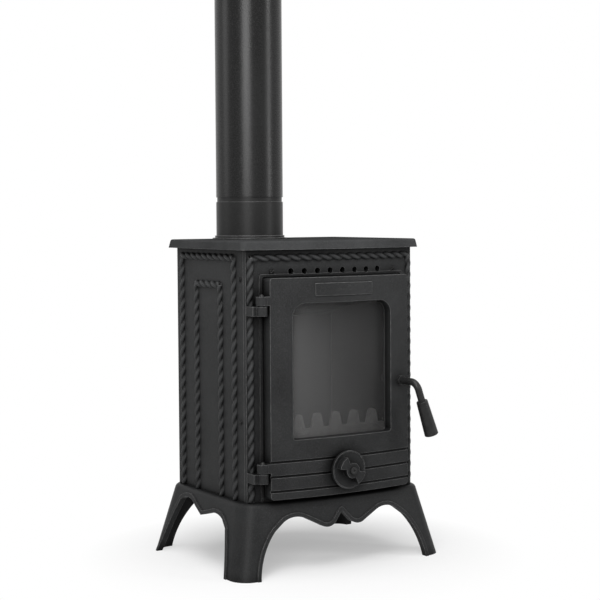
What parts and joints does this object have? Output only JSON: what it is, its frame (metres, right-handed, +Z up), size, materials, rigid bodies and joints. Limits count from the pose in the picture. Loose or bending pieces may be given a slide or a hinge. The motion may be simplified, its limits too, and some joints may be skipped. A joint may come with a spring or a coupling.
{
  "type": "cast iron stove",
  "caption": "Small black cast iron wood stove with rope-moulded edges, a bowed front with a glazed swinging door, a screw-in air dial, an arched leg stand and a flue pipe on top.",
  "frame": {"origin": "bottom centre of the whole object's box, on the floor", "axes": "+X to the right as seen from the front, +Y to the back, +Z up; the door faces -Y"},
  "size_m": [0.426, 0.3822, 1.141],
  "materials": {
    "cast_iron": "matte black stove paint",
    "black_pipe": "satin black stove paint",
    "black_steel": "satin black",
    "steel": "dark steel",
    "stove_glass": "polished",
    "firebrick": "matte",
    "seal_rope": "woven glass fibre"
  },
  "bodies": {
    "stove": {"leg_stand": "cast_iron", "bottom_plate": "cast_iron", "left_side_panel": "cast_iron", "right_side_panel": "cast_iron", "back_panel": "cast_iron", "front_frame": "cast_iron", "top_plate": "cast_iron", "flue_collar": "cast_iron", "collar_bolts": "steel", "flue_pipe": "black_pipe", "tie_rods": "steel", "tie_rod_nuts": "steel", "side_screws": "black_steel", "frame_screws": "black_steel", "hinge_pins": "black_steel", "air_deflector": "cast_iron", "baffle_plate": "cast_iron", "left_firebrick": "firebrick", "right_firebrick": "firebrick", "back_firebrick": "firebrick", "grate": "cast_iron", "log_guard": "cast_iron", "ash_pan": "black_steel"},
    "door": {"door_frame": "cast_iron", "door_rope_seal": "seal_rope", "door_glass": "stove_glass", "glass_gasket": "seal_rope", "glass_clips": "steel", "clip_screws": "steel"},
    "handle": {"handle_spindle": "black_steel", "handle_grip": "black_steel", "grip_screw": "black_steel", "latch_cam": "steel", "cam_nut": "steel"},
    "dial_stop": {"stop_washer": "steel"},
    "air_dial": {"air_dial": "cast_iron", "dial_bolt": "black_steel"}
  },
  "joints": [
    {"name": "door_swing", "type": "hinge", "parent": "stove", "child": "door", "pos_m": [-0.152, -0.11995, 0.3175], "axis": [0, 0, -1], "range_deg": [0, 110]},
    {"name": "handle_turn", "type": "hinge", "parent": "door", "child": "handle", "pos_m": [0.124, -0.12492, 0.3175], "axis": [0, -1, 0], "range_deg": [-20, 75]},
    {"name": "dial_travel", "type": "slide", "parent": "door", "child": "dial_stop", "axis": [0, -1, 0], "range_m": [-0.00505, 0.00755]},
    {"name": "dial_turn", "type": "hinge", "parent": "dial_stop", "child": "air_dial", "pos_m": [0, -0.12492, 0.1735], "axis": [0, -1, 0], "range_deg": [-360, 540]}
  ],
  "couplings": [
    {"joint": "dial_travel", "follows": "dial_turn", "m_per_rad": 0.00079577}
  ]
}
